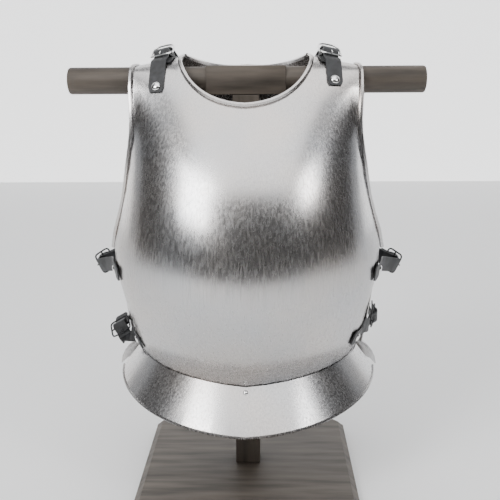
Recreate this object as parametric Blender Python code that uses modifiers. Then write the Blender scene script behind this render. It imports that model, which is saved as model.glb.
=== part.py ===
"""Steel cuirass, breast and back, buckled together over a wooden stand.

Metres, +Z up. The origin is the centre of the base board's underside, the wearer's front faces -Y, and
+X is on the viewer's right. Heights in the tables of sections are taken from the crossbar's axis.
"""

import math

import bmesh
import bpy
import numpy
from mathutils import Matrix, Vector

COLLECTION_NAME = "cuirass_on_stand"
TOOLS_NAME = "joining_shapes"

# Stand
BOARD_SIDE = 0.330
BOARD_THICKNESS = 0.020
BOARD_CORNER = 0.030
BOARD_MOULDING = 0.010
POST_SIDE = 0.038
BAR_HEIGHT = 0.611
BAR_LENGTH = 0.510
BAR_DIAMETER = 0.038
BLOCK_LENGTH = 0.113
BLOCK_SIDE = 0.040
BAR_END_ROUNDING = 0.003

# Steel plates
PLATE = 0.0012
EDGE_BEAD = 0.0032
BEAD_THIN = 0.68
BEAD_FULL_FROM = 2.0
BEAD_SINK = 0.0001
BEAD_OVERRUN = 0.0006
LAME_BEAD = 0.0018
GAP = 0.0003

# Leather and buckles
LEATHER = 0.0020
STRAP_WIDTH = 0.022
WIRE = 0.0013
PRONG_WIRE = 0.0010
RIVET_RADIUS = 0.0065
RIVET_HEIGHT = 0.0022
LAME_RIVET_RADIUS = 0.0036
LAME_RIVET_PLACE = 0.10
STRAP_END = 0.78

# How far the straps stand off the plates, in thicknesses of leather with its gap.
SHOULDER_LAYERS = 1.08
SIDE_LAYERS = 1.30

# Sections of the breastplate's right half, from the shoulders down to the waist. Each is a Bezier curve
# from the keel, which is also carried up through the neck opening, to the arm opening or the side edge.
# Columns: keel y and height, inner handle x and y, outer handle x and y, edge x, y and height.
BREAST_SECTIONS = (
    (0.004, 0.0500, 0.055, 0.004, 0.108, 0.004, 0.1550, 0.004, 0.0208),
    (-0.020, 0.0400, 0.058, -0.020, 0.113, -0.016, 0.1605, -0.013, 0.0178),
    (-0.046, 0.0090, 0.060, -0.045, 0.116, -0.036, 0.1613, -0.027, 0.0035),
    (-0.077, -0.0340, 0.066, -0.074, 0.122, -0.057, 0.1602, -0.038, -0.0270),
    (-0.113, -0.0830, 0.076, -0.108, 0.136, -0.080, 0.1585, -0.046, -0.0670),
    (-0.147, -0.1410, 0.086, -0.142, 0.155, -0.100, 0.1662, -0.046, -0.1180),
    (-0.170, -0.2040, 0.093, -0.166, 0.173, -0.114, 0.1787, -0.034, -0.1770),
    (-0.179, -0.2630, 0.097, -0.176, 0.190, -0.118, 0.1986, -0.008, -0.2430),
    (-0.173, -0.3170, 0.096, -0.171, 0.184, -0.110, 0.1893, -0.003, -0.2960),
    (-0.153, -0.3690, 0.093, -0.152, 0.171, -0.090, 0.1785, -0.003, -0.3480),
    (-0.123, -0.4190, 0.088, -0.122, 0.153, -0.062, 0.1650, -0.003, -0.3970),
)

# The same columns for the backplate, with the spine in the keel's place.
BACK_SECTIONS = (
    (0.010, 0.0500, 0.055, 0.010, 0.110, 0.009, 0.1570, 0.009, 0.0208),
    (0.040, 0.0440, 0.060, 0.038, 0.115, 0.029, 0.1620, 0.023, 0.0170),
    (0.083, 0.0200, 0.064, 0.078, 0.122, 0.054, 0.1635, 0.037, -0.0080),
    (0.104, -0.0400, 0.070, 0.099, 0.134, 0.077, 0.1610, 0.046, -0.0520),
    (0.116, -0.1100, 0.080, 0.112, 0.150, 0.094, 0.1650, 0.045, -0.1100),
    (0.119, -0.1800, 0.087, 0.117, 0.168, 0.103, 0.1770, 0.035, -0.1700),
    (0.113, -0.2500, 0.090, 0.112, 0.184, 0.104, 0.1950, 0.015, -0.2300),
    (0.101, -0.3100, 0.090, 0.101, 0.187, 0.097, 0.1940, 0.010, -0.2880),
    (0.088, -0.3600, 0.086, 0.088, 0.184, 0.089, 0.1870, 0.010, -0.3440),
    (0.078, -0.4020, 0.082, 0.078, 0.176, 0.082, 0.1780, 0.011, -0.3980),
)

# Where the neck opening crosses the sections: its half width at the shoulders as a share of a section,
# the section that it reaches at the centre, and how square its corner is. The armhole's bead stops at the
# section arm_end. The flange below the waist is given at the centre and at the side edge: how far it comes
# out and down, and how strongly its profile bows.
BREAST = {
    "sections": BREAST_SECTIONS,
    "neck_across": 0.560,
    "neck_down": 3.0,
    "neck_fullness": 0.62,
    "arm_end": 7.0,
    "flange_out": (0.0075, 0.0075),
    "flange_down": (0.0096, 0.0096),
    "flange_bow": 1.0,
    "flange_rows": 1,
    "outward": -1,
}
BACK = {
    "sections": BACK_SECTIONS,
    "neck_across": 0.535,
    "neck_down": 2.0,
    "neck_fullness": 0.80,
    "arm_end": 6.0,
    "flange_out": (0.030, 0.0225),
    "flange_down": (0.044, 0.0370),
    "flange_bow": 1.7,
    "flange_rows": 4,
    "outward": 1,
}

# The lame: how far below the crease it starts, its depth at the centre and at its ends, and its flare.
LAME_START = 0.0012
LAME_DEPTH_CENTRE = 0.0710
LAME_DEPTH_END = 0.0435
LAME_TILT = math.radians(38)

# Grid of each plate's half: columns across, rows beside the neck and rows below it.
ACROSS = 9
NECK_ROWS = 6
BODY_ROWS = 11


def new_collection(name, hidden):
    collection = bpy.data.collections.new(name)
    collection.hide_render = hidden
    bpy.context.scene.collection.children.link(collection)
    return collection


def clear_scene():
    for obj in list(bpy.data.objects):
        bpy.data.objects.remove(obj)


clear_scene()
PARTS = new_collection(COLLECTION_NAME, hidden=False)
TOOLS = new_collection(TOOLS_NAME, hidden=True)


def material(name, colour, roughness, metallic):
    made = bpy.data.materials.new(name)
    made.use_nodes = True
    shader = made.node_tree.nodes["Principled BSDF"]
    shader.inputs["Base Color"].default_value = (*colour, 1.0)
    shader.inputs["Roughness"].default_value = roughness
    shader.inputs["Metallic"].default_value = metallic
    return made


MATERIALS = {
    "polished_steel": material("polished_steel", (0.56, 0.55, 0.54), 0.28, 1.0),
    "bright_steel": material("bright_steel", (0.80, 0.80, 0.80), 0.15, 1.0),
    "black_steel": material("black_steel", (0.02, 0.02, 0.02), 0.35, 0.0),
    "black_leather": material("black_leather", (0.03, 0.03, 0.033), 0.55, 0.0),
    "dark_wood": material("dark_wood", (0.07, 0.055, 0.042), 0.55, 0.0),
}


def own_material(obj, finish):
    """Each sub-part has a material of its own, copied from its finish."""
    copy = MATERIALS[finish].copy()
    copy.name = f"{obj.name}_{finish}"
    obj.data.materials.clear()
    obj.data.materials.append(copy)


def object_from(bm, name, finish, collection=PARTS):
    mesh = bpy.data.meshes.new(name)
    bm.to_mesh(mesh)
    bm.free()
    obj = bpy.data.objects.new(name, mesh)
    collection.objects.link(obj)
    if collection is TOOLS:
        obj.hide_render = True
        obj.display_type = "WIRE"
    own_material(obj, finish)
    return obj


def join(obj, tool):
    """Adds the tool's shape to the object."""
    union = obj.modifiers.new(f"with_{tool.name}", "BOOLEAN")
    union.operation = "UNION"
    union.solver = "EXACT"
    union.object = tool


def smooth(obj, degrees=35):
    obj.data.shade_smooth()
    obj.data.set_sharp_from_angle(angle=math.radians(degrees))


def smooth_rows(rows):
    """Second derivatives of the natural cubic curve through the rows, which lie one unit apart."""
    rows = numpy.array(rows, dtype=float)
    count = len(rows)
    system = numpy.eye(count)
    right = numpy.zeros_like(rows)
    for i in range(1, count - 1):
        system[i, i - 1 : i + 2] = (1, 4, 1)
        right[i] = 6 * (rows[i - 1] - 2 * rows[i] + rows[i + 1])
    return rows, numpy.linalg.solve(system, right)


def along_rows(curve, place):
    """The row at a place between 0 and the last row's number."""
    rows, bends = curve
    i = min(max(int(place), 0), len(rows) - 2)
    after = place - i
    before = 1 - after
    straight = before * rows[i] + after * rows[i + 1]
    return straight + ((before**3 - before) * bends[i] + (after**3 - after) * bends[i + 1]) / 6


for plate in (BREAST, BACK):
    plate["curve"] = smooth_rows(plate["sections"])
    plate["last"] = len(plate["sections"]) - 1


def on_section(plate, across, down):
    """A point of the plate's outer face: across from 0 at the keel to 1 at the edge, down by sections."""
    row = along_rows(plate["curve"], down)
    keel_y, keel_h, inner_x, inner_y, outer_x, outer_y, edge_x, edge_y, edge_h = row
    before = 1 - across
    weights = (before**3, 3 * before**2 * across, 3 * before * across**2, across**3)
    x = weights[1] * inner_x + weights[2] * outer_x + weights[3] * edge_x
    y = weights[0] * keel_y + weights[1] * inner_y + weights[2] * outer_y + weights[3] * edge_y
    height = before * keel_h + across * edge_h
    return Vector((x, y, BAR_HEIGHT + height))


def outward_normal(plate, across, down):
    step = 0.004
    low, high = max(across - step, 0), min(across + step, 1)
    top, bottom = max(down - step, 0), min(down + step, plate["last"])
    along = on_section(plate, high, down) - on_section(plate, low, down)
    fall = on_section(plate, across, bottom) - on_section(plate, across, top)
    normal = along.cross(fall) * plate["outward"]
    if across == 0:
        normal.x = 0.0
    return normal.normalized()


def lifted(plate, across, down, lift, side=1):
    """A point over the plate's outer face and the plate's normal there, on either side of the keel."""
    normal = outward_normal(plate, across, down)
    point = on_section(plate, across, down) + normal * lift
    mirror = Vector((side, 1, 1))
    return point * mirror, normal * mirror


def across_at_width(plate, x, down):
    """The share of a section at which the plate has this half width."""
    low, high = 0.0, 1.0
    for _ in range(24):
        middle = (low + high) / 2
        if on_section(plate, middle, down).x < x:
            low = middle
        else:
            high = middle
    return low


def neck_place(plate, turn):
    """(across, down) on the neck's edge, for turn from 0 at the shoulder to 1 at the keel."""
    angle = turn * math.pi / 2
    across = plate["neck_across"] * math.cos(angle) if turn < 1 else 0.0
    return across, plate["neck_down"] * math.sin(angle) ** plate["neck_fullness"]


def grid_place(plate, across, row):
    """(across, down) of a grid point. The first rows fan out from the neck's edge."""
    if row < NECK_ROWS:
        start, start_down = neck_place(plate, row / NECK_ROWS)
        end_down = plate["neck_down"] * row / NECK_ROWS
    else:
        start = 0.0
        share = min((row - NECK_ROWS) / BODY_ROWS, 1.0)
        start_down = end_down = plate["neck_down"] + (plate["last"] - plate["neck_down"]) * share
    return start + (1 - start) * across, start_down + (end_down - start_down) * across


def waist_outward(plate, across):
    """The level direction that points out of the waist, square to it."""
    normal = outward_normal(plate, across, plate["last"])
    return Vector((normal.x, normal.y, 0)).normalized()


def below_waist(plate, across, out, down, lift=0.0):
    """A point below the waist: out from it, down from it, and lifted off that slope's face."""
    outward = waist_outward(plate, across)
    slope = math.hypot(out, down)
    face = (outward * down + Vector((0, 0, 1)) * out) / slope if slope else outward
    return on_section(plate, across, plate["last"]) + outward * out - Vector((0, 0, down)) + face * lift


def blend(start, end, share):
    return start + (end - start) * share


def plate_point(plate, across, row):
    last_row = NECK_ROWS + BODY_ROWS
    place = grid_place(plate, across, min(row, last_row))
    if row <= last_row:
        return on_section(plate, *place)
    share = (row - last_row) / plate["flange_rows"]
    out = blend(*plate["flange_out"], across**2) * (1 - (1 - share) ** plate["flange_bow"])
    down = blend(*plate["flange_down"], across**2) * share ** math.sqrt(plate["flange_bow"])
    return below_waist(plate, place[0], out, down)


def grid_sheet(name, columns, rows, place, finish, collection=PARTS):
    """A sheet of quads whose points are place(column, row)."""
    bm = bmesh.new()
    bmesh.ops.create_grid(bm, x_segments=columns, y_segments=rows, size=0.5)
    for vert in bm.verts:
        column = round((vert.co.x + 0.5) * columns)
        row = round((0.5 - vert.co.y) * rows)
        vert.co = place(column, row)
    return object_from(bm, name, finish, collection)


def wall(obj, thickness, offset):
    solidify = obj.modifiers.new("wall", "SOLIDIFY")
    solidify.thickness = thickness
    solidify.offset = offset
    solidify.use_even_offset = True


def wire(name, points, radius, finish, closed=False, collection=PARTS, sides=2, taper=None):
    """A round wire through the points, as a closed mesh. A taper scales its radius at each point."""
    curve = bpy.data.curves.new(name, "CURVE")
    curve.dimensions = "3D"
    curve.bevel_depth = radius
    curve.bevel_resolution = sides
    curve.use_fill_caps = True
    spline = curve.splines.new("POLY")
    spline.points.add(len(points) - 1)
    for i, point in enumerate(spline.points):
        point.co = (*points[i], 1.0)
        point.radius = taper[i] if taper else 1.0
    spline.use_cyclic_u = closed
    guide = bpy.data.objects.new(f"{name}_guide", curve)
    TOOLS.objects.link(guide)
    graph = bpy.context.evaluated_depsgraph_get()
    mesh = bpy.data.meshes.new_from_object(guide.evaluated_get(graph))
    bm = bmesh.new()
    bm.from_mesh(mesh)
    bmesh.ops.remove_doubles(bm, verts=bm.verts, dist=0.00001)
    bmesh.ops.recalc_face_normals(bm, faces=bm.faces)
    bpy.data.objects.remove(guide)
    return object_from(bm, name, finish, collection)


def bead_size(place):
    """The bead's share of its full radius: it thins out towards the shoulder's top."""
    return blend(BEAD_THIN, 1.0, min(place / BEAD_FULL_FROM, 1.0))


def bead_centre(plate, across, down, side=1):
    """The bead's underside lies flush with the plate's inner face."""
    lift = EDGE_BEAD * bead_size(down) - PLATE + BEAD_SINK
    return lifted(plate, across, down, lift, side)[0]


def lengthened(route, first=True, last=False):
    """The route with its ends carried on a little, so that a joined shape passes through what it meets."""
    route = list(route)
    if first:
        route[0] = route[0] + (route[0] - route[1]).normalized() * BEAD_OVERRUN
    if last:
        route[-1] = route[-1] + (route[-1] - route[-2]).normalized() * BEAD_OVERRUN
    return route


def neck_bead(name, plate):
    steps = 14
    places = [neck_place(plate, i / steps) for i in range(steps + 1)]
    half = [bead_centre(plate, *place) for place in places]
    route = half + [point * Vector((-1, 1, 1)) for point in half[-2::-1]]
    sizes = [bead_size(place[1]) for place in places]
    sizes += sizes[-2::-1]
    route = lengthened(route, last=True)
    return wire(name, route, EDGE_BEAD, "polished_steel", collection=TOOLS, sides=1, taper=sizes)


def arm_bead(name, plate, side):
    steps = 17
    downs = [plate["arm_end"] * i / steps for i in range(steps + 1)]
    route = lengthened([bead_centre(plate, 1.0, down, side) for down in downs])
    sizes = [bead_size(down) for down in downs]
    return wire(name, route, EDGE_BEAD, "polished_steel", collection=TOOLS, sides=1, taper=sizes)


def make_plate(name, plate):
    rows = NECK_ROWS + BODY_ROWS + plate["flange_rows"]
    obj = grid_sheet(
        name, ACROSS, rows, lambda column, row: plate_point(plate, column / ACROSS, row), "polished_steel"
    )
    if plate["outward"] > 0:
        obj.data.flip_normals()
    mirror = obj.modifiers.new("other_half", "MIRROR")
    mirror.merge_threshold = 0.0001
    wall(obj, PLATE, -1)
    join(obj, neck_bead(f"{name}_neck_bead", plate))
    for side, label in ((-1, "left"), (1, "right")):
        join(obj, arm_bead(f"{name}_arm_bead_{label}", plate, side))
    smooth(obj)
    return obj


make_plate("breastplate", BREAST)
make_plate("backplate", BACK)


# The waist lame lies on the breastplate's flange, flares out and ends in a thin rolled rim.
LAME_LIFT = PLATE + GAP
LAME_COLUMNS = 14
LAME_ROWS = 2


def lame_point(across, share):
    depth = blend(LAME_DEPTH_CENTRE, LAME_DEPTH_END, across**2)
    distance = blend(LAME_START, depth, share)
    out, down = distance * math.sin(LAME_TILT), distance * math.cos(LAME_TILT)
    return below_waist(BREAST, across, out, down, LAME_LIFT)


def make_lame():
    obj = grid_sheet(
        "waist_lame",
        LAME_COLUMNS,
        LAME_ROWS,
        lambda column, row: lame_point(column / LAME_COLUMNS, row / LAME_ROWS),
        "polished_steel",
    )
    mirror = obj.modifiers.new("other_half", "MIRROR")
    mirror.merge_threshold = 0.0001
    wall(obj, PLATE, -1)
    steps = 20
    half = [lame_point(1 - i / steps, 1.0) for i in range(steps + 1)]
    mirrored = [point * Vector((-1, 1, 1)) for point in half]
    route = half + mirrored[-2::-1]
    join(obj, wire("waist_lame_bead", route, LAME_BEAD, "polished_steel", collection=TOOLS, sides=1))
    smooth(obj)
    return obj


make_lame()


# Rivets: domed washers that hold the straps, and the small one in the middle of the lame.
def rivet(name, point, normal, radius, height, finish):
    bm = bmesh.new()
    for base, top, start, depth in ((1.0, 0.86, 0.0, 0.55), (0.86, 0.45, 0.55, 0.45)):
        ring = bmesh.ops.create_cone(
            bm,
            cap_ends=True,
            segments=14,
            radius1=radius * base,
            radius2=radius * top,
            depth=height * depth,
        )
        bmesh.ops.translate(bm, vec=(0, 0, height * (start + depth / 2)), verts=ring["verts"])
    bmesh.ops.remove_doubles(bm, verts=bm.verts, dist=0.00001)
    inner = [face for face in bm.faces if abs(face.calc_center_median().z - height * 0.55) < 0.00001]
    bmesh.ops.delete(bm, geom=inner, context="FACES_ONLY")
    turn = Vector((0, 0, 1)).rotation_difference(normal).to_matrix()
    bmesh.ops.rotate(bm, cent=(0, 0, 0), matrix=turn, verts=bm.verts)
    bmesh.ops.translate(bm, vec=point, verts=bm.verts)
    obj = object_from(bm, name, finish)
    smooth(obj)
    return obj


def plate_rivet(name, plate, across, down, side, layers):
    point, normal = lifted(plate, across, down, layers * (GAP + LEATHER) + GAP, side)
    return rivet(name, point, normal, RIVET_RADIUS, RIVET_HEIGHT, "bright_steel")


lame_face = waist_outward(BREAST, 0.0)
lame_face = (lame_face * math.cos(LAME_TILT) + Vector((0, 0, 1)) * math.sin(LAME_TILT)).normalized()
rivet(
    "waist_lame_rivet",
    lame_point(0.0, LAME_RIVET_PLACE) + lame_face * GAP,
    lame_face,
    LAME_RIVET_RADIUS,
    RIVET_HEIGHT * 0.6,
    "bright_steel",
)


# Straps: leather ribbons through stations, each a point and the way that the ribbon's width runs there.
def on_plate(plate, across, down, side, layers, running="down"):
    """A station on a plate, over this many layers of leather, for a strap that runs down or across."""
    point, _ = lifted(plate, across, down, layers * (GAP + LEATHER) - LEATHER / 2, side)
    step = 0.01
    if running == "down":
        width = on_section(plate, across + step, down) - on_section(plate, across - step, down)
    else:
        width = on_section(plate, across, down + step) - on_section(plate, across, down - step)
    return point, width.normalized() * Vector((side, 1, 1))


def sampled(rows, rows_each):
    """Points on a smooth line through the rows, whose bends keep to the stretch that they lie in."""
    rows = [numpy.array(row) for row in rows]
    marks = [0.0]
    for before, after in zip(rows, rows[1:]):
        marks.append(marks[-1] + numpy.linalg.norm((after - before)[:3]))
    slopes = []
    for i in range(len(rows)):
        low, high = max(i - 1, 0), min(i + 1, len(rows) - 1)
        slopes.append((rows[high] - rows[low]) / (marks[high] - marks[low]))
    samples = []
    for i in range(len(rows) - 1):
        length = marks[i + 1] - marks[i]
        for step in range(rows_each):
            t = step / rows_each
            start, end = 1 - 3 * t**2 + 2 * t**3, 3 * t**2 - 2 * t**3
            leave, arrive = (t - 2 * t**2 + t**3) * length, (t**3 - t**2) * length
            samples.append(start * rows[i] + leave * slopes[i] + end * rows[i + 1] + arrive * slopes[i + 1])
    return samples + [rows[-1]]


def ribbon(name, stations):
    """A flat strap through the stations, with clipped ends."""
    rows_each = 2
    widths = [stations[0][1]]
    for _, width in stations[1:]:
        widths.append(width if width.dot(widths[-1]) > 0 else -width)
    table = [(*station[0], *width) for station, width in zip(stations, widths)]
    rows = (len(stations) - 1) * rows_each
    samples = sampled(table, rows_each)

    def place(column, row):
        point = Vector(samples[row][:3])
        along = Vector(samples[min(row + 1, rows)][:3]) - Vector(samples[max(row - 1, 0)][:3])
        along.normalize()
        width = Vector(samples[row][3:])
        width = (width - along * width.dot(along)).normalized()
        clip = STRAP_END if row in (0, rows) else 1.0
        return point + width * (column - 0.5) * STRAP_WIDTH * clip

    obj = grid_sheet(name, 1, rows, place, "black_leather")
    wall(obj, LEATHER, 0)
    smooth(obj)
    return obj


def frame_of(centre, rearward, outward, side, aside=0.0):
    """A buckle's frame: its middle, the way from front bar to rear bar, the way it faces, and its width's."""
    mirror = Vector((side, 1, 1))
    along = Vector(rearward).normalized()
    out = Vector(outward)
    out = (out - along * out.dot(along)).normalized()
    across = out.cross(along)
    middle = Vector((centre[0], centre[1], BAR_HEIGHT + centre[2]))
    return {
        "middle": middle * mirror,
        "along": along * mirror,
        "out": out * mirror,
        "across": across * mirror,
        "aside": aside,
    }


def in_frame(frame, along, out, across=0.0):
    return frame["middle"] + frame["along"] * along + frame["out"] * out + frame["across"] * across


def through_frame(frame, route):
    """Stations in a buckle's frame, given as (along, out) from the middle of its centre bar."""
    return [(in_frame(frame, along, out, frame["aside"]), frame["across"]) for along, out in route]


def make_buckle(name, frame, shape, finish):
    """A bent wire frame with its centre bar."""
    steps = 20
    outline = []
    for i in range(steps):
        angle = (i + 0.5) * math.tau / steps
        cosine, sine = math.cos(angle), math.sin(angle)
        front = cosine > 0
        square = shape["front_square"] if front else shape["rear_square"]
        reach = abs(cosine) ** square
        along = -shape["front"] * reach if front else shape["rear"] * reach
        out = shape["front_out"] * reach if front else shape["rear_out"] * reach
        outline.append(in_frame(frame, along, out, math.copysign(abs(sine) ** square, sine) * shape["half"]))
    obj = wire(name, outline, WIRE, finish, closed=True, sides=1)
    ends = [in_frame(frame, 0, 0, shape["half"] * end) for end in (-1, 1)]
    join(obj, wire(f"{name}_bar", ends, WIRE, finish, collection=TOOLS, sides=1))
    smooth(obj, 50)
    return obj


def make_prong(name, frame, route, finish):
    points = [in_frame(frame, along, out, frame["aside"]) for along, out in route]
    obj = wire(name, points, PRONG_WIRE, finish, sides=1)
    smooth(obj, 50)
    return obj


# Shapes of the buckles, and the straps' routes through them, from the centre bar's middle.
SHOULDER_BUCKLE = {
    "front": 0.011,
    "rear": 0.015,
    "half": 0.0165,
    "front_out": -0.0026,
    "rear_out": 0.0115,
    "front_square": 0.40,
    "rear_square": 0.62,
}
SIDE_BUCKLE = {
    "front": 0.0125,
    "rear": 0.0125,
    "half": 0.0168,
    "front_out": 0.0,
    "rear_out": 0.0,
    "front_square": 0.32,
    "rear_square": 0.32,
}
SHOULDER_TIP = (
    (-0.0115, -0.0063),
    (-0.0083, -0.0034),
    (-0.0049, 0.0022),
    (0.0000, 0.0059),
    (0.0065, 0.0070),
    (0.0140, 0.0058),
    (0.0220, 0.0020),
    (0.0300, -0.0030),
    (0.0380, -0.0085),
)
SHOULDER_FOLD = (
    (0.0210, -0.0048),
    (0.0150, -0.0043),
    (0.0090, -0.0043),
    (0.0040, -0.0040),
    (0.0000, -0.0030),
    (-0.0029, 0.0000),
    (0.0000, 0.0028),
    (0.0040, 0.0011),
    (0.0090, -0.0017),
    (0.0150, -0.0018),
    (0.0210, -0.0023),
)
SHOULDER_PRONG = ((-0.0132, 0.0004), (-0.0105, 0.0010), (-0.0078, 0.0030))
SIDE_TIP = (
    (-0.0128, -0.0035),
    (-0.0088, -0.0022),
    (-0.0052, 0.0022),
    (0.0000, 0.0060),
    (0.0056, 0.0044),
    (0.0090, -0.0009),
    (0.0130, -0.0036),
    (0.0180, -0.0052),
    (0.0230, -0.0064),
)
SIDE_FOLD = (
    (0.0062, -0.0009),
    (0.0036, 0.0012),
    (0.0000, 0.0028),
    (-0.0028, 0.0000),
    (0.0000, -0.0028),
    (0.0042, -0.0054),
    (0.0090, -0.0079),
    (0.0140, -0.0104),
)
SIDE_PRONG = ((-0.0148, 0.0027), (-0.0120, 0.0027), (-0.0070, 0.0038))


def make_shoulder(side, label, lowest):
    frame = frame_of((0.1190, 0.002, 0.0376), (-0.208, 0.978, 0.0), (0.208, 0.0, 0.978), side)
    make_buckle(f"shoulder_buckle_{label}", frame, SHOULDER_BUCKLE, "bright_steel")
    make_prong(f"shoulder_prong_{label}", frame, SHOULDER_PRONG, "bright_steel")
    ribbon(f"shoulder_buckle_loop_{label}", through_frame(frame, SHOULDER_FOLD))

    def at(plate, width, down, layers=SHOULDER_LAYERS):
        return on_plate(plate, across_at_width(plate, width, down), down, side, layers)

    share = lowest - 1.35
    stations = [
        at(BREAST, 0.1237, lowest),
        at(BREAST, 0.1233, 1.35 + share * 0.72),
        at(BREAST, 0.1229, 1.35 + share * 0.44),
        at(BREAST, 0.1225, 1.35 + share * 0.18, 1.30),
        at(BREAST, 0.1220, 1.30, 2.05),
        at(BREAST, 0.1215, 1.00, 2.35),
    ]
    ribbon(f"shoulder_strap_front_{label}", stations + through_frame(frame, SHOULDER_TIP))
    rivet_down = lowest - 0.23
    across = across_at_width(BREAST, 0.1235, rivet_down)
    plate_rivet(f"shoulder_rivet_front_{label}", BREAST, across, rivet_down, side, SHOULDER_LAYERS)

    places = [(BREAST, 0.1150, 1.15), (BREAST, 0.1146, 0.88), (BREAST, 0.1142, 0.60), (BREAST, 0.1138, 0.30)]
    places += [(BREAST, 0.1132, 0.00), (BACK, 0.1122, 0.00), (BACK, 0.1112, 0.30), (BACK, 0.1100, 0.60)]
    places += [(BACK, 0.1085, 0.90), (BACK, 0.1065, 1.20), (BACK, 0.1045, 1.48), (BACK, 0.1025, 1.76)]
    places += [(BACK, 0.1005, 2.04)]
    ribbon(f"shoulder_strap_back_{label}", [at(*place) for place in places])
    across = across_at_width(BACK, 0.1018, 1.84)
    plate_rivet(f"shoulder_rivet_back_{label}", BACK, across, 1.84, side, SHOULDER_LAYERS)


def make_side(name, side, label, frame, front, free, back_free, back, rivets, lead=()):
    make_buckle(f"{name}_buckle_{label}", frame, SIDE_BUCKLE, "black_steel")
    make_prong(f"{name}_prong_{label}", frame, SIDE_PRONG, "black_steel")
    mirror = Vector((side, 1, 1))

    def loose(places):
        made = []
        for x, y, height, *width in places:
            made.append((Vector((x, y, BAR_HEIGHT + height)) * mirror, Vector(width).normalized() * mirror))
        return made

    stations = [on_plate(BREAST, across, down, side, SIDE_LAYERS, "across") for across, down in front]
    stations += loose(free) + through_frame(frame, lead + SIDE_TIP)
    ribbon(f"{name}_strap_front_{label}", stations)
    stations = through_frame(frame, SIDE_FOLD) + loose(back_free)
    stations += [on_plate(BACK, across, down, side, SIDE_LAYERS, "across") for across, down in back]
    ribbon(f"{name}_strap_back_{label}", stations)
    plate_rivet(f"{name}_rivet_front_{label}", BREAST, *rivets[0], side, SIDE_LAYERS)
    plate_rivet(f"{name}_rivet_back_{label}", BACK, *rivets[1], side, SIDE_LAYERS)


for side, label, lowest in ((-1, "left", 2.67), (1, "right", 2.43)):
    make_shoulder(side, label, lowest)
    make_side(
        "side_upper",
        side,
        label,
        frame_of((0.224, 0.041, -0.276), (-0.72, 0.55, 0.42), (0.59, 0.80, -0.04), side),
        ((0.775, 7.40), (0.82, 7.40), (0.865, 7.40), (0.91, 7.40), (0.95, 7.40)),
        (
            (0.2030, -0.0070, -0.2695, 0.10, 0, 1),
            (0.2110, 0.0060, -0.2730, 0.15, 0, 1),
            (0.2205, 0.0190, -0.2770, 0.20, 0, 1),
        ),
        ((0.1980, 0.0500, -0.2665, 0.1, 0.1, 1),),
        ((0.80, 6.5), (0.75, 6.5), (0.70, 6.5), (0.65, 6.5)),
        ((0.87, 7.40), (0.69, 6.5)),
    )

make_side(
    "side_lower",
    -1,
    "left",
    frame_of((0.198, 0.004, -0.372), (0.27, 0.73, 0.63), (0.46, -0.67, 0.58), -1, aside=0.002),
    ((0.77, 9.55), (0.82, 9.55), (0.87, 9.55), (0.915, 9.55)),
    ((0.1790, -0.0125, -0.3800, 0.6, 0.1, -0.8),),
    ((0.1900, 0.0350, -0.3640, 0.5, 0.1, -0.8),),
    ((0.80, 8.2), (0.75, 8.15), (0.70, 8.1), (0.65, 8.1)),
    ((0.85, 9.55), (0.69, 8.1)),
    lead=((-0.0185, -0.0075),),
)
make_side(
    "side_lower",
    1,
    "right",
    frame_of((0.197, 0.036, -0.364), (0.30, 0.78, 0.50), (0.93, -0.30, -0.10), 1),
    ((0.71, 9.25), (0.76, 9.30), (0.81, 9.35), (0.86, 9.40), (0.91, 9.40), (0.955, 9.40)),
    ((0.1800, 0.0010, -0.3690, 0, 0.1, -1), (0.1870, 0.0140, -0.3730, 0, 0.4, -0.9)),
    ((0.1830, 0.0520, -0.3520, 0, 0.2, -1),),
    ((0.72, 8.0), (0.67, 8.0), (0.62, 8.0), (0.57, 8.0)),
    ((0.785, 9.33), (0.61, 8.0)),
    lead=((-0.0165, -0.0036),),
)


# Stand: the board with its moulded border, the post, and the turned crossbar with its square block.
def box(name, size, centre, finish, bevel, collection=PARTS):
    bm = bmesh.new()
    bmesh.ops.create_cube(bm, size=1.0)
    bmesh.ops.scale(bm, vec=size, verts=bm.verts)
    bmesh.ops.translate(bm, vec=centre, verts=bm.verts)
    obj = object_from(bm, name, finish, collection)
    if bevel:
        edge = obj.modifiers.new("eased_edges", "BEVEL")
        edge.width = bevel
        edge.segments = 2
    return obj


def make_board():
    half = BOARD_SIDE / 2
    clipped = half - BOARD_CORNER
    corners = [(half, clipped), (clipped, half)]
    outline = [(x * sx, y * sy) for sx, sy in ((1, 1), (-1, 1), (-1, -1), (1, -1)) for x, y in corners]
    outline.sort(key=lambda point: math.atan2(point[1], point[0]))
    bm = bmesh.new()
    bottom = bm.faces.new([bm.verts.new((x, y, 0)) for x, y in outline])
    grown = bmesh.ops.extrude_face_region(bm, geom=[bottom])
    top_verts = [item for item in grown["geom"] if isinstance(item, bmesh.types.BMVert)]
    bmesh.ops.translate(bm, vec=(0, 0, BOARD_THICKNESS * 0.55), verts=top_verts)
    top = next(item for item in grown["geom"] if isinstance(item, bmesh.types.BMFace))
    inset = bmesh.ops.inset_region(bm, faces=[top], thickness=BOARD_MOULDING * 0.35, use_even_offset=True)
    bmesh.ops.translate(bm, vec=(0, 0, BOARD_THICKNESS * 0.12), verts=top.verts)
    bmesh.ops.inset_region(bm, faces=[top], thickness=BOARD_MOULDING * 0.65, use_even_offset=True)
    bmesh.ops.translate(bm, vec=(0, 0, BOARD_THICKNESS * 0.33), verts=top.verts)
    bmesh.ops.recalc_face_normals(bm, faces=bm.faces)
    return object_from(bm, "base_board", "dark_wood")


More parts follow.
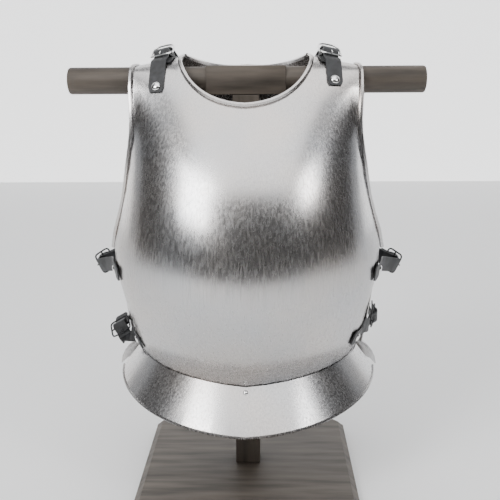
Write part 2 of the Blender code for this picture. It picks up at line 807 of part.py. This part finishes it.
def make_crossbar():
    obj = box("crossbar", (BLOCK_LENGTH, BLOCK_SIDE, BLOCK_SIDE), (0, 0, BAR_HEIGHT), "dark_wood", 0.0015)
    bm = bmesh.new()
    bmesh.ops.create_cone(
        bm, cap_ends=True, segments=28, radius1=BAR_DIAMETER / 2, radius2=BAR_DIAMETER / 2, depth=BAR_LENGTH
    )
    ends = [edge for edge in bm.edges if abs(edge.verts[0].co.z - edge.verts[1].co.z) < 1e-6]
    bmesh.ops.bevel(
        bm, geom=ends, offset=BAR_END_ROUNDING, segments=2, profile=0.5, affect="EDGES", material=-1
    )
    bmesh.ops.rotate(bm, cent=(0, 0, 0), matrix=Matrix.Rotation(math.pi / 2, 3, "Y"), verts=bm.verts)
    bmesh.ops.translate(bm, vec=(0, 0, BAR_HEIGHT), verts=bm.verts)
    join(obj, object_from(bm, "crossbar_arms", "dark_wood", TOOLS))
    smooth(obj)
    return obj


make_board()
make_crossbar()
POST_TOP = BAR_HEIGHT - BLOCK_SIDE / 2 - GAP
POST_FOOT = BOARD_THICKNESS + GAP
box(
    "post",
    (POST_SIDE, POST_SIDE, POST_TOP - POST_FOOT),
    (0, 0, (POST_TOP + POST_FOOT) / 2),
    "dark_wood",
    0.0012,
)
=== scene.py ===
"""Polished steel cuirass on its wooden stand, dressed for a studio picture.

Metres, +Z up, the wearer's front to -Y. Every piece keeps its shape from the frame: this script gives the
pieces their finishes, smooths the raised and bent ones, and sets up the studio and the camera.
"""

import math

import bpy
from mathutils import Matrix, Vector

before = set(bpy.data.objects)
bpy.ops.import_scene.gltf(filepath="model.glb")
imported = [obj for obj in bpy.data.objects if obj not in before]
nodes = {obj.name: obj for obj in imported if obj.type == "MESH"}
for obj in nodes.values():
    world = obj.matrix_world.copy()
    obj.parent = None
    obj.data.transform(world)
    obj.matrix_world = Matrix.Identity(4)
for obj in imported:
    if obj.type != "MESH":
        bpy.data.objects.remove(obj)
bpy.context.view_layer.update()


# Breastplate, backplate and waist lame: sheet steel, raised to shape, polished and then brushed up and down
# by hand. The steel has faint warm and cool patches, and its brush marks run along Z.
STEEL_COOL = (0.50, 0.50, 0.51)
STEEL_WARM = (0.56, 0.53, 0.51)
TINT_PATCHES = 9.0
BRUSH_MARKS = 420.0
BRUSH_STRETCH = (1, 1, 0.03)
PLATE_CREASE = 38
WELD_DISTANCE = 0.00005


def new_material(name, colour, roughness, metallic):
    made = bpy.data.materials.new(name)
    made.use_nodes = True
    shader = made.node_tree.nodes["Principled BSDF"]
    shader.inputs["Base Color"].default_value = (*colour, 1.0)
    shader.inputs["Roughness"].default_value = roughness
    shader.inputs["Metallic"].default_value = metallic
    return made, made.node_tree, shader


def object_noise(tree, scale, detail, stretch=(1, 1, 1)):
    """Noise over the object's own coordinates. A small number in stretch draws it out along that axis."""
    place = tree.nodes.new("ShaderNodeTexCoord")
    stretched = tree.nodes.new("ShaderNodeMapping")
    stretched.inputs["Scale"].default_value = stretch
    noise = tree.nodes.new("ShaderNodeTexNoise")
    noise.inputs["Scale"].default_value = scale
    noise.inputs["Detail"].default_value = detail
    tree.links.new(place.outputs["Object"], stretched.inputs["Vector"])
    tree.links.new(stretched.outputs["Vector"], noise.inputs["Vector"])
    return noise.outputs["Fac"]


def ramp(tree, value, low, high, low_colour, high_colour):
    """The value as a colour, from low_colour at low to high_colour at high."""
    stops = tree.nodes.new("ShaderNodeValToRGB")
    stops.color_ramp.elements[0].position = low
    stops.color_ramp.elements[1].position = high
    stops.color_ramp.elements[0].color = (*low_colour, 1.0)
    stops.color_ramp.elements[1].color = (*high_colour, 1.0)
    tree.links.new(value, stops.inputs["Fac"])
    return stops.outputs["Color"]


def tint_between(tree, shader, value, low, high, low_colour, high_colour):
    tint = ramp(tree, value, low, high, low_colour, high_colour)
    tree.links.new(tint, shader.inputs["Base Color"])


def roughness_between(tree, shader, value, low, high, smoothest, roughest):
    dull = ramp(tree, value, low, high, (smoothest,) * 3, (roughest,) * 3)
    tree.links.new(dull, shader.inputs["Roughness"])


def bump(tree, shader, value, strength, distance):
    raised = tree.nodes.new("ShaderNodeBump")
    raised.inputs["Strength"].default_value = strength
    raised.inputs["Distance"].default_value = distance
    tree.links.new(value, raised.inputs["Height"])
    tree.links.new(raised.outputs["Normal"], shader.inputs["Normal"])


def finish(names, material):
    for name in names:
        mesh = nodes[name].data
        mesh.materials.clear()
        mesh.materials.append(material)


def smooth(names, crease_degrees):
    """A raised or bent piece has no facets: its faces are welded and shaded as one surface up to a crease."""
    for name in names:
        obj = nodes[name]
        obj.data.shade_smooth()
        weld = obj.modifiers.new("weld", "WELD")
        weld.merge_threshold = WELD_DISTANCE
        split = obj.modifiers.new("sharp_edges", "EDGE_SPLIT")
        split.split_angle = math.radians(crease_degrees)


steel, tree, shader = new_material("polished_steel", colour=(0.50, 0.49, 0.48), roughness=0.24, metallic=1.0)
patches = object_noise(tree, TINT_PATCHES, detail=3.0)
tint_between(tree, shader, patches, low=0.35, high=0.65, low_colour=STEEL_COOL, high_colour=STEEL_WARM)
brushed = object_noise(tree, BRUSH_MARKS, detail=2.0, stretch=BRUSH_STRETCH)
roughness_between(tree, shader, brushed, low=0.3, high=0.7, smoothest=0.20, roughest=0.31)
bump(tree, shader, brushed, strength=0.05, distance=0.0004)

plates = ["breastplate", "backplate", "waist_lame"]
finish(plates, steel)
smooth(plates, PLATE_CREASE)


# Straps and buckle loops: strips cut from black leather, with a fine grain and a dull sheen, a little paler
# where they have worn. They are riveted to the plates, and their free ends run through the buckles.
LEATHER_DARK = (0.013, 0.013, 0.013)
LEATHER_WORN = (0.035, 0.036, 0.040)
LEATHER_GRAIN = 900.0
LEATHER_WEAR = 120.0
SMALL_PIECE_CREASE = 50

leather, tree, shader = new_material("black_leather", (0.02, 0.021, 0.023), roughness=0.5, metallic=0.0)
grain = object_noise(tree, LEATHER_GRAIN, detail=4.0)
wear = object_noise(tree, LEATHER_WEAR, detail=3.0)
tint_between(tree, shader, wear, low=0.3, high=0.75, low_colour=LEATHER_DARK, high_colour=LEATHER_WORN)
bump(tree, shader, grain, strength=0.25, distance=0.0003)

leathers = [name for name in nodes if "strap_" in name or "loop" in name]
finish(leathers, leather)
smooth(leathers, SMALL_PIECE_CREASE)


# Side buckles and their prongs: frames of bent wire with a bar across the middle, in black lacquered steel,
# a little worn. Each buckle sits in the fold of its back strap.
LACQUER_SCUFFS = 180.0

black, tree, shader = new_material("black_steel", colour=(0.012, 0.012, 0.014), roughness=0.3, metallic=0.0)
scuffs = object_noise(tree, LACQUER_SCUFFS, detail=3.0)
roughness_between(tree, shader, scuffs, low=0.35, high=0.7, smoothest=0.2, roughest=0.45)

blacks = [name for name in nodes if name.startswith("side") and ("buckle" in name or "prong" in name)]
finish(blacks, black)
smooth(blacks, SMALL_PIECE_CREASE)


# Shoulder buckles with their prongs, and all the rivets: bright nickelled steel. The buckles are bent from
# wire like the side ones, and the rivets' domed heads hold the straps and the lame to the plates.
NICKEL_SMEARS = 260.0

bright, tree, shader = new_material("bright_steel", colour=(0.85, 0.85, 0.84), roughness=0.12, metallic=1.0)
smears = object_noise(tree, NICKEL_SMEARS, detail=2.0)
roughness_between(tree, shader, smears, low=0.4, high=0.7, smoothest=0.08, roughest=0.2)

brights = [name for name in nodes if "rivet" in name or name.startswith("shoulder_prong")]
brights += ["shoulder_buckle_left", "shoulder_buckle_right"]
finish(brights, bright)
smooth(brights, SMALL_PIECE_CREASE)


# Stand: a turned crossbar, a square post and a moulded board, of wood with a grey-brown stain. The grain
# runs along each piece: the bar's and the board's along X, the post's along Z.
WOOD_DARK = (0.035, 0.027, 0.020)
WOOD_PALE = (0.120, 0.098, 0.078)
WOOD_GRAIN = 60.0
ALONG_X = (0.12, 1, 1)
ALONG_Z = (1, 1, 0.12)
CROSSBAR_CREASE = 30

for node_name, material_name, direction in (
    ("crossbar", "stained_wood_bar", ALONG_X),
    ("post", "stained_wood_post", ALONG_Z),
    ("base_board", "stained_wood_board", ALONG_X),
):
    wood, tree, shader = new_material(material_name, colour=(0.07, 0.055, 0.042), roughness=0.6, metallic=0.0)
    wood_grain = object_noise(tree, WOOD_GRAIN, detail=6.0, stretch=direction)
    tint_between(tree, shader, wood_grain, low=0.32, high=0.68, low_colour=WOOD_DARK, high_colour=WOOD_PALE)
    bump(tree, shader, wood_grain, strength=0.15, distance=0.0005)
    finish([node_name], wood)
smooth(["crossbar"], CROSSBAR_CREASE)


# Studio: a pale floor and a white backdrop. Dark cards behind the camera and at the sides, hidden from it,
# give the steel something dark to mirror.
def stage_plane(name, size, location, facing, colour, glow=0.0, seen=True):
    bpy.ops.mesh.primitive_plane_add(size=1.0, location=location)
    obj = bpy.context.object
    obj.name = name
    obj.scale = (*size, 1.0)
    obj.rotation_euler = Vector(facing).to_track_quat("Z", "Y").to_euler()
    made, _, plane_shader = new_material(name, colour, roughness=0.9, metallic=0.0)
    plane_shader.inputs["Emission Color"].default_value = (*colour, 1.0)
    plane_shader.inputs["Emission Strength"].default_value = glow
    obj.data.materials.append(made)
    obj.visible_camera = seen


stage_plane("floor", size=(12, 12), location=(0, 0, 0), facing=(0, 0, 1), colour=(0.92, 0.92, 0.92))
stage_plane("backdrop", (14, 9), location=(0, 3.5, 3), facing=(0, -1, 0), colour=(1.0, 1.0, 1.0), glow=1.3)
for card_name, card_size, card_place, card_facing, card_colour in (
    ("dark_card", (9.0, 2.3), (0.2, -2.4, 1.15), (0, 1, 0), (0.04, 0.038, 0.036)),
    ("dark_card_left", (2.0, 5.0), (-3.0, -0.6, 1.0), (1, 0, 0), (0.06, 0.056, 0.054)),
    ("dark_card_right", (2.0, 5.0), (3.0, -0.6, 1.0), (-1, 0, 0), (0.05, 0.047, 0.045)),
):
    stage_plane(card_name, card_size, card_place, card_facing, card_colour, seen=False)


# Lights: a large soft one overhead and a window on each side, the left one larger and stronger. All three
# point at the middle of the cuirass at the height of the chest, and a pale sky fills the shadows.
LIGHTS_AIM = Vector((0, 0, 0.5))

for light_name, light_size, light_place, watts in (
    ("ceiling_light", (3.0, 3.0), (0, -1.2, 3.2), 60),
    ("left_window", (0.9, 1.2), (-1.5, -1.9, 1.9), 45),
    ("right_window", (0.5, 0.6), (1.6, -1.5, 1.9), 12),
):
    light_data = bpy.data.lights.new(light_name, "AREA")
    light_data.shape = "RECTANGLE"
    light_data.size, light_data.size_y = light_size
    light_data.energy = watts
    light = bpy.data.objects.new(light_name, light_data)
    light.location = light_place
    light.rotation_euler = (LIGHTS_AIM - Vector(light_place)).to_track_quat("-Z", "Y").to_euler()
    bpy.context.scene.collection.objects.link(light)

sky = bpy.data.worlds.new("studio")
sky.use_nodes = True
sky.node_tree.nodes["Background"].inputs["Color"].default_value = (0.9, 0.92, 0.95, 1.0)
sky.node_tree.nodes["Background"].inputs["Strength"].default_value = 0.55
bpy.context.scene.world = sky


# Camera: level with the crossbar and looking down at the cuirass, from slightly to the right and with a
# slight roll, as fitted to the photo.
CAMERA_YAW = math.radians(1.5)
CAMERA_PITCH = math.radians(12.77)
CAMERA_ROLL = math.radians(0.35)
CAMERA_DISTANCE = 1.103
CAMERA_HEIGHT = 0.611

camera_data = bpy.data.cameras.new("camera")
camera_data.lens = 54.0
camera_data.sensor_width = 36.0
camera_data.shift_x = 0.0056
camera = bpy.data.objects.new("camera", camera_data)
camera.location = (
    CAMERA_DISTANCE * math.sin(CAMERA_YAW),
    -CAMERA_DISTANCE * math.cos(CAMERA_YAW),
    CAMERA_HEIGHT,
)
camera.rotation_euler = (math.pi / 2 - CAMERA_PITCH, 0.0, CAMERA_YAW)
camera.rotation_euler.rotate_axis("Z", -CAMERA_ROLL)
bpy.context.scene.collection.objects.link(camera)
bpy.context.scene.camera = camera
